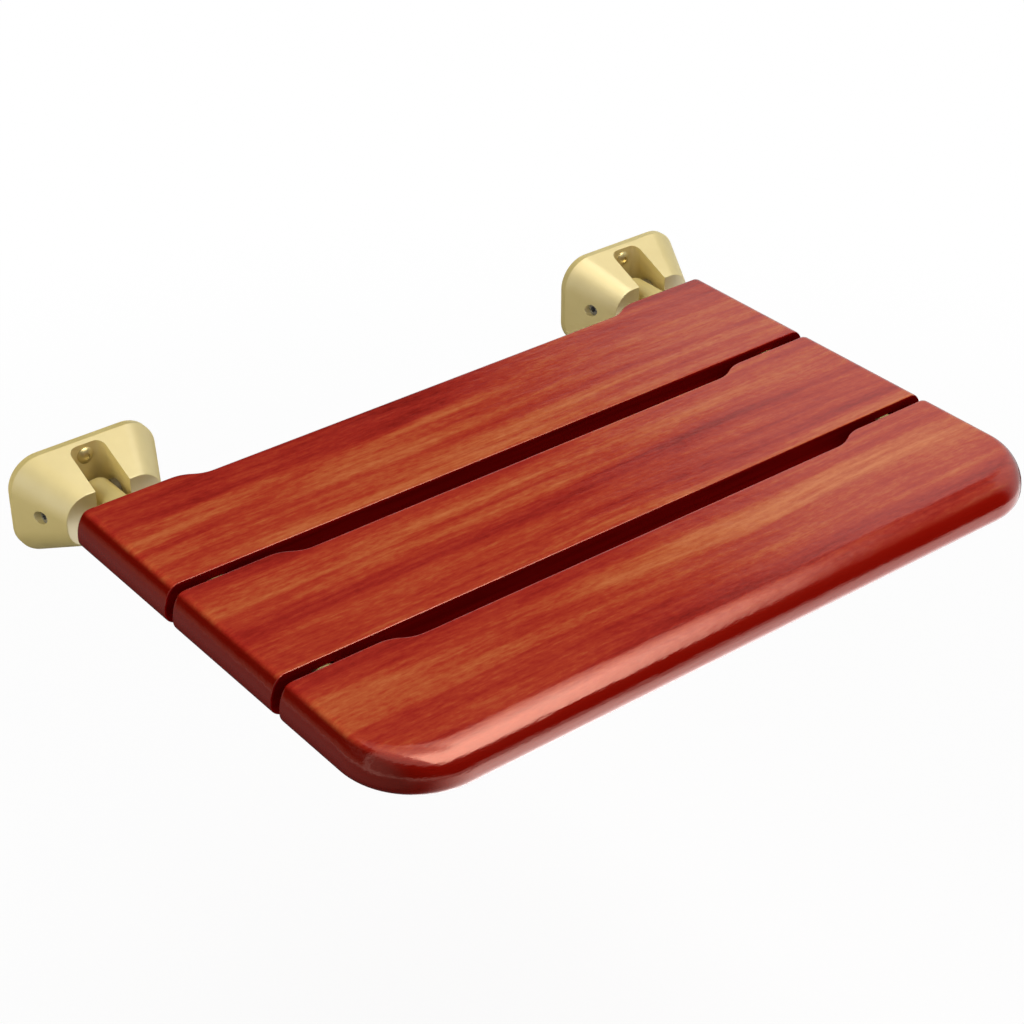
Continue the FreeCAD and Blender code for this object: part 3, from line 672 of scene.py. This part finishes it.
def relief_depth(x, end):
    """How deep the dip is at x: two equal arcs that meet halfway along its run, then a level middle."""
    bend = (RELIEF_RUN ** 2 + RELIEF_DEPTH ** 2) / (4.0 * RELIEF_DEPTH)
    run = np.clip(end - RELIEF_INSET - np.abs(x), 0.0, RELIEF_RUN)
    arc = bend - np.sqrt(bend ** 2 - np.minimum(run, RELIEF_RUN - run) ** 2)
    return np.where(run < RELIEF_RUN / 2.0, arc, RELIEF_DEPTH - arc)


def slice_heights(top, bottom):
    """Heights of the slices, one to a row, from the top down: a drop times one less the cosine of even
    angles sets them close together where the edges turn."""
    upper = top - END_ROUND[1] * (1.0 - np.cos(np.radians(np.linspace(0.0, 90.0, UPPER_SLICES))))
    lower = bottom + BELOW_ROUND[1] * (1.0 - np.cos(np.radians(np.linspace(90.0, 0.0, LOWER_SLICES))))
    return np.concatenate([upper, lower])[:, None]


def edge_inset(depth, rounding):
    """How far a rounded edge draws in at a depth below its face: a quarter of an ellipse, as wide as the
    rounding's run and as high as its drop."""
    run, drop = rounding
    left = 1.0 - np.clip(depth / drop, 0.0, 1.0)
    return run * (1.0 - np.sqrt(1.0 - left ** 2))


def side_inset(height, above, below):
    """How far a side of each slice draws in, with one rounding at the top and one at the bottom."""
    return edge_inset(height[0] - height, above) + edge_inset(height - height[-1], below)


print("a board has", UPPER_SLICES + LOWER_SLICES, "slices")

# %% Slat sides
CORNER_STEPS = 10
LENGTH_STEPS = 240
WIDTH_STEPS = 60


def side_run(steps, first, last, corners, turns):
    """One side of a slice from the middle of one corner to the middle of the next: the place along it,
    and how far it has turned in. Each corner is a quarter ellipse, corners long along the side and turns
    deep across it."""
    swing = np.radians(np.linspace(45.0, 0.0, CORNER_STEPS, endpoint=False))
    angle = np.concatenate([swing, np.zeros(steps), swing[::-1]])
    share = np.concatenate([np.zeros(CORNER_STEPS), np.linspace(0.0, 1.0, steps), np.ones(CORNER_STEPS)])
    sign = np.concatenate([-np.ones(CORNER_STEPS), np.zeros(steps), np.ones(CORNER_STEPS)])
    way = np.sign(last - first)
    start = first + way * corners[0]
    finish = last - way * corners[1]
    along = start + (finish - start) * share + way * sign * np.where(sign < 0, *corners) * np.sin(angle)
    return along, np.where(sign < 0, *turns) * (1.0 - np.cos(angle))


def slat_sides(end, rear, front, height, insets, rear_corner, front_corner):
    """The four sides of every slice, each a (slices, points, 3) array, running rear, right, front, left.
    The insets are those of the ends, the rear and the front; a corner is (X length, Y length)."""
    half, back, face = end - insets[0], rear - insets[1], front + insets[2]
    rear_x, rear_y = rear_corner
    front_x, front_y = front_corner
    x_rear, turned = side_run(LENGTH_STEPS, -half, half, (rear_x, rear_x), (rear_y, rear_y))
    y_rear = back - turned - relief_depth(x_rear, end)
    y_right, turned = side_run(WIDTH_STEPS, back, face, (rear_y, front_y), (rear_x, front_x))
    x_right = half - turned
    x_front, turned = side_run(LENGTH_STEPS, half, -half, (front_x, front_x), (front_y, front_y))
    y_front = face + turned
    y_left, turned = side_run(WIDTH_STEPS, face, back, (front_y, rear_y), (front_x, rear_x))
    x_left = turned - half
    sides = [(x_rear, y_rear), (x_right, y_right), (x_front, y_front), (x_left, y_left)]
    return [np.stack(np.broadcast_arrays(x, y, height), axis=-1) for x, y in sides]


print("a slice has", 4 * 2 * CORNER_STEPS, "points in its corners")

# %% Slat mesh


def level_cap(rear, right, front, left):
    """A level patch inside four sides: the blends of both opposite pairs, less the corners' blend."""
    u = np.linspace(0.0, 1.0, len(rear))[None, :, None]
    v = np.linspace(0.0, 1.0, len(right))[:, None, None]
    lengthwise = (1.0 - v) * rear[None] + v * front[None, ::-1]
    crosswise = (1.0 - u) * left[::-1, None] + u * right[:, None]
    corners = ((1.0 - u) * (1.0 - v) * rear[0] + u * (1.0 - v) * rear[-1]
               + (1.0 - u) * v * front[-1] + u * v * front[0])
    return lengthwise + crosswise - corners


def cap_numbers(ring, rows, columns, first):
    """Point numbers of a cap: its rim has those of the ring round it, its inside counts from first."""
    number = np.zeros((rows, columns), dtype=int)
    number[1:-1, 1:-1] = numbered(rows - 2, columns - 2, first)
    number[0, :] = ring[:columns]
    number[:, -1] = ring[columns - 1:columns + rows - 1]
    number[-1, ::-1] = ring[columns + rows - 2:2 * columns + rows - 2]
    number[:0:-1, 0] = ring[2 * columns + rows - 3:]
    return number


def slat_mesh(name, sides):
    """Stack the slices into one closed mesh: a wall of squares and a level patch above and below."""
    slices = np.concatenate([side[:, :-1] for side in sides], axis=1)
    wall = numbered(*slices.shape[:2])
    columns, rows = sides[0].shape[1], sides[1].shape[1]
    points = [slices.reshape(-1, 3)]
    faces = [squares(np.concatenate([wall, wall[:, :1]], axis=1))]
    taken = wall.size
    for level, turned_over in ((0, True), (-1, False)):
        cap = level_cap(*(side[level] for side in sides))
        quads = squares(cap_numbers(wall[level], rows, columns, taken))
        faces.append(quads[:, ::-1] if turned_over else quads)
        points.append(cap[1:-1, 1:-1].reshape(-1, 3))
        taken += (rows - 2) * (columns - 2)
    mesh = bpy.data.meshes.new(name)
    mesh.from_pydata(np.concatenate(points).tolist(), [], np.concatenate(faces).tolist())
    return mesh


print("ready to stack slices")

# %% [markdown]
# ## The grooves
# The arms lie in grooves that run under the boards and stop short of the seat's front edge. They could
# be part of the slices, but every slice would then need a second outline. A box pushed through the
# finished board cuts them in one go, as a router would.

# %% Groove cutters
ARM_MIDDLE = 0.2188
GROOVE_HALF = 0.0085
GROOVE_ROOF = 0.0135
GROOVE_STOP = -0.3375
CUTTER_FOOT = -0.03
CUTTER_REAR = -0.04
CUTTER_THROUGH = -0.5
BOX_FACES = [(0, 1, 3, 2), (4, 6, 7, 5), (0, 4, 5, 1), (2, 3, 7, 6), (0, 2, 6, 4), (1, 5, 7, 3)]


def groove_cutter(side, front):
    """A box over the arm's place, from below the board to the groove's roof: its corners in an array."""
    x = side * ARM_MIDDLE + np.array([-GROOVE_HALF, GROOVE_HALF])
    y = np.array([front, CUTTER_REAR])
    z = np.array([CUTTER_FOOT, GROOVE_ROOF])
    corners = np.stack(np.meshgrid(x, y, z, indexing="ij"), axis=-1).reshape(-1, 3)
    mesh = bpy.data.meshes.new("groove")
    mesh.from_pydata(corners.tolist(), [], BOX_FACES)
    cutter = bpy.data.objects.new("groove", mesh)
    scene.collection.objects.link(cutter)
    return cutter


def cut_grooves(board, front):
    """Take both grooves out of the board's mesh, and clear the cutters away."""
    cutters = [groove_cutter(side, front) for side in (-1.0, 1.0)]
    for cutter in cutters:
        cut = board.modifiers.new("groove", "BOOLEAN")
        cut.operation = "DIFFERENCE"
        cut.solver = "EXACT"
        cut.object = cutter
    shaped = bpy.data.meshes.new_from_object(board.evaluated_get(bpy.context.evaluated_depsgraph_get()))
    board.modifiers.clear()
    board.data = shaped
    for cutter in cutters:
        bpy.data.objects.remove(cutter)


print("grooves are", 2000.0 * GROOVE_HALF, "mm wide")

# %% [markdown]
# ## Making the boards
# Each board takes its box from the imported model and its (rear rounding, front rounding) from the table
# below. The rear and the middle board are rounded a little at the front, inside a gap; the front board
# has no such rounding there, and takes the seat's large front edge and corners. Which faces are sawn
# and which are lacquered follows from where they lie and how they face.

# %% Make the slats
EDGE_ROUNDS = {
    "rear_slat": (0.0025, 0.0013),
    "middle_slat": (0.003, 0.0013),
    "front_slat": (0.003, None),
}
FRONT_CORNER = 0.051
GROOVE_SLACK = 0.0005
SAWN_SHADE_FACING_REAR = 0.9
SAWN_SHADE_FACING_FRONT = 0.55
SHARP_ANGLE = 40.0


def board_sides(slat, rear_round, front_round):
    """The sides of a board's slices. Without a front rounding the board takes the seat's front edge,
    whose corners are the plan's radius less what the ends and the front draw in."""
    low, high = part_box(slat)
    height = slice_heights(high[2], low[2])
    ends = side_inset(height, END_ROUND, BELOW_ROUND)
    rear_edge = (rear_round, rear_round)
    rear = side_inset(height, rear_edge, rear_edge)
    if front_round:
        front_corner = (front_round, front_round)
        front = side_inset(height, front_corner, front_corner)
    else:
        front = side_inset(height, FRONT_ROUND, BELOW_ROUND)
        front_corner = (FRONT_CORNER - ends, FRONT_CORNER - front)
    return slat_sides(high[0], high[1], low[1], height, (ends, rear, front), rear_edge, front_corner)


def finish_faces(mesh, lacquer, has_front_gap):
    """Lacquer everywhere but in the grooves and on the sawn edges: faces that look to the rear and, in a
    gap, those that look to the front. The sawn faces get the dark finish whose colour is painted shade."""
    normal = np.empty(3 * len(mesh.polygons))
    centre = np.empty_like(normal)
    mesh.polygons.foreach_get("normal", normal)
    mesh.polygons.foreach_get("center", centre)
    normal, centre = normal.reshape(-1, 3), centre.reshape(-1, 3)
    in_groove = np.abs(np.abs(centre[:, 0]) - ARM_MIDDLE) < GROOVE_HALF + GROOVE_SLACK
    in_groove &= centre[:, 1] > GROOVE_STOP - GROOVE_SLACK
    in_groove &= centre[:, 2] < GROOVE_ROOF + GROOVE_SLACK
    # faces that get the dark sawn finish, whose colour is painted shade in the gaps
    sawn = in_groove | (normal[:, 1] > SAWN_SHADE_FACING_REAR)
    if has_front_gap:
        sawn |= normal[:, 1] < -SAWN_SHADE_FACING_FRONT
    mesh.materials.clear()
    mesh.materials.append(lacquer)
    mesh.materials.append(sawn_edge_in_shade)
    mesh.polygons.foreach_set("material_index", sawn.astype(np.int32))
    mesh.polygons.foreach_set("use_smooth", np.ones(len(mesh.polygons), dtype=bool))
    mesh.set_sharp_from_angle(angle=math.radians(SHARP_ANGLE))


for slat, (rear_round, front_round) in EDGE_ROUNDS.items():
    stacked = slat_mesh(slat + "_board", board_sides(slat, rear_round, front_round))
    board = bpy.data.objects.new(slat + "_board", stacked)
    scene.collection.objects.link(board)
    cut_grooves(board, CUTTER_THROUGH if front_round else GROOVE_STOP)
    finish_faces(board.data, lacquered[slat], bool(front_round))
    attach(board, "seat")
    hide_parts(slat)
    print(board.name, "has", len(board.data.polygons), "faces")

# %% [markdown]
# ## Satin gold
# The brackets and arms are cast, blasted with fine grit and then plated a pale gold. Polished gold
# would mirror the studio, but the grit leaves a skin that scatters light almost like paint. So the
# shader is an olive-gold paint under a broad pale sheen: the sheen whitens the sides that face the
# light, and the shaded ones keep a deeper gold. A high index of refraction makes the sheen strong
# enough. The bump has a very fine grain, and the colour a slow cloudiness. The screws' domes are turned
# and polished, so they are mostly metal with a smoother skin and show a bright glint.

# %% Gold finishes
CLOUD_NOISE = (50.0, 50.0, 3.0, 0.55)
GRIT_NOISE = (2000.0, 2000.0, 2.0, 0.5)
GRIT_DEPTH = 0.0002
OLIVE_GOLD = (0.610, 0.480, 0.165)
BRIGHT_GOLD = (0.62, 0.52, 0.26)
GOLD_SHADE = (0.93, 0.91, 0.84)
GOLD_GLOSS_SPREAD = 0.06
GOLD_SHEEN = (1.0, 1.0, 0.92, 1.0)


def gold_finish(name, colour, metal, rough, grit, index):
    """Plated gold: colour and roughness drift with a cloud about 20 mm wide, and the bump is a grit of
    half a millimetre. The index of refraction sets how strong the pale sheen over the colour is."""
    material, tree, shader = new_finish(name)
    place = add_node(tree, "ShaderNodeTexCoord").outputs["Object"]
    cloud = drawn_noise(tree, place, *CLOUD_NOISE)["Fac"]
    grain = drawn_noise(tree, place, *GRIT_NOISE)["Fac"]
    deeper = tuple(shade * part for shade, part in zip(GOLD_SHADE, colour))
    vary_colour(tree, shader, cloud, [(NOISE_LOW, deeper), (NOISE_HIGH, colour)])
    vary_gloss(tree, shader, cloud, rough - GOLD_GLOSS_SPREAD, rough + GOLD_GLOSS_SPREAD)
    add_bump(tree, shader, grain, grit, GRIT_DEPTH)
    shader.inputs["Metallic"].default_value = metal
    shader.inputs["IOR"].default_value = index
    shader.inputs["Specular Tint"].default_value = GOLD_SHEEN
    return material


satin_gold = gold_finish("satin_gold", OLIVE_GOLD, metal=0.0, rough=0.45, grit=0.15, index=2.4)
polished_gold = gold_finish("polished_gold", BRIGHT_GOLD, metal=0.7, rough=0.33, grit=0.02, index=1.5)
print("gold finishes:", satin_gold.name, polished_gold.name)

# %% [markdown]
# ## Steel
# The wall plates, pins and wood screws are plain steel, brushed along the seat's length, and the lock
# screws are darker. Brushing is many fine scratches side by side: a noise drawn out a hundred times
# along X gives them to the colour, the roughness and the bump at once, where a hand-drawn scratch map
# would have to be unwrapped onto every screw.

# %% Steel finishes
SCRATCH_NOISE = (9.0, 900.0, 3.0, 0.6)
SCRATCH_BUMP = (0.06, 0.0002)
STEEL_GREY = (0.62, 0.62, 0.60)
DARK_GREY = (0.42, 0.42, 0.42)
STEEL_SHADE = 0.8
STEEL_GLOSS_SPREAD = 0.1


def steel_finish(name, colour, metal, rough):
    """Brushed steel: scratches about 1 mm apart lighten, roughen and raise the metal together."""
    material, tree, shader = new_finish(name)
    place = add_node(tree, "ShaderNodeTexCoord").outputs["Object"]
    scratch = drawn_noise(tree, place, *SCRATCH_NOISE)["Fac"]
    duller = tuple(STEEL_SHADE * part for part in colour)
    vary_colour(tree, shader, scratch, [(NOISE_LOW, duller), (NOISE_HIGH, colour)])
    vary_gloss(tree, shader, scratch, rough - STEEL_GLOSS_SPREAD, rough + STEEL_GLOSS_SPREAD)
    add_bump(tree, shader, scratch, *SCRATCH_BUMP)
    shader.inputs["Metallic"].default_value = metal
    return material


plain_steel = steel_finish("plain_steel", STEEL_GREY, metal=1.0, rough=0.36)
dark_steel = steel_finish("dark_steel", DARK_GREY, metal=0.8, rough=0.26)
print("steel finishes:", plain_steel.name, dark_steel.name)

# %% [markdown]
# ## Plastic and rubber
# The bushes are moulded from a tan plastic that needs no oil, and the stop pads are black rubber. Both
# come out of a mould with a fine even texture. The same recipe serves both: a grain in the bump, a few
# paler specks in the colour, and a roughness high enough that no lamp shows in it.

# %% Moulded finishes
MOULD_NOISE = (1100.0, 1100.0, 2.0, 0.5)
MOULD_BUMP = (0.2, 0.0003)
MOULD_GLOSS_SPREAD = 0.08
SPECK_NOISE = (420.0, 420.0, 4.0, 0.6)
SPECK_FROM = 0.5
SPECK_FULL = 0.75
TAN = (0.20, 0.165, 0.09)
PALE_TAN = (0.27, 0.225, 0.13)
RUBBER_BLACK = (0.028, 0.028, 0.028)
WORN_BLACK = (0.060, 0.058, 0.055)


def moulded_finish(name, colour, speck, rough):
    """A moulded skin: a grain of about 1 mm in the bump, and specks of another colour on noise peaks."""
    material, tree, shader = new_finish(name)
    place = add_node(tree, "ShaderNodeTexCoord").outputs["Object"]
    grain = drawn_noise(tree, place, *MOULD_NOISE)["Fac"]
    speckle = drawn_noise(tree, place, *SPECK_NOISE)["Fac"]
    vary_colour(tree, shader, speckle, [(SPECK_FROM, colour), (SPECK_FULL, speck)])
    vary_gloss(tree, shader, grain, rough - MOULD_GLOSS_SPREAD, rough + MOULD_GLOSS_SPREAD)
    add_bump(tree, shader, grain, *MOULD_BUMP)
    return material


tan_plastic = moulded_finish("tan_plastic", TAN, PALE_TAN, rough=0.6)
black_rubber = moulded_finish("black_rubber", RUBBER_BLACK, WORN_BLACK, rough=0.72)
print("moulded finishes:", tan_plastic.name, black_rubber.name)

# %% [markdown]
# ## Dressing the hardware
# The brackets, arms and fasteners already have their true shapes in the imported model, so nothing is
# remodelled: each keeps its mesh, and only its material slot changes. The record says which slot each
# piece belongs to, so one table from slot to finish dresses them all, with the polished screws as the
# one exception.

# %% Dress the hardware
SLOT_FINISH = {"gold_metal": satin_gold, "steel": plain_steel, "dark_steel": dark_steel,
               "bush_plastic": tan_plastic, "pad_rubber": black_rubber}
POLISHED = ("bracket_screws_left", "bracket_screws_right")
for part in frame["record"]["subparts"]:
    finish = polished_gold if part["node"] in POLISHED else SLOT_FINISH.get(part["material_slot"])
    if finish:
        node_mesh = frame["nodes"][part["node"]].data
        node_mesh.materials.clear()
        node_mesh.materials.append(finish)
        print(part["node"], "gets", finish.name)
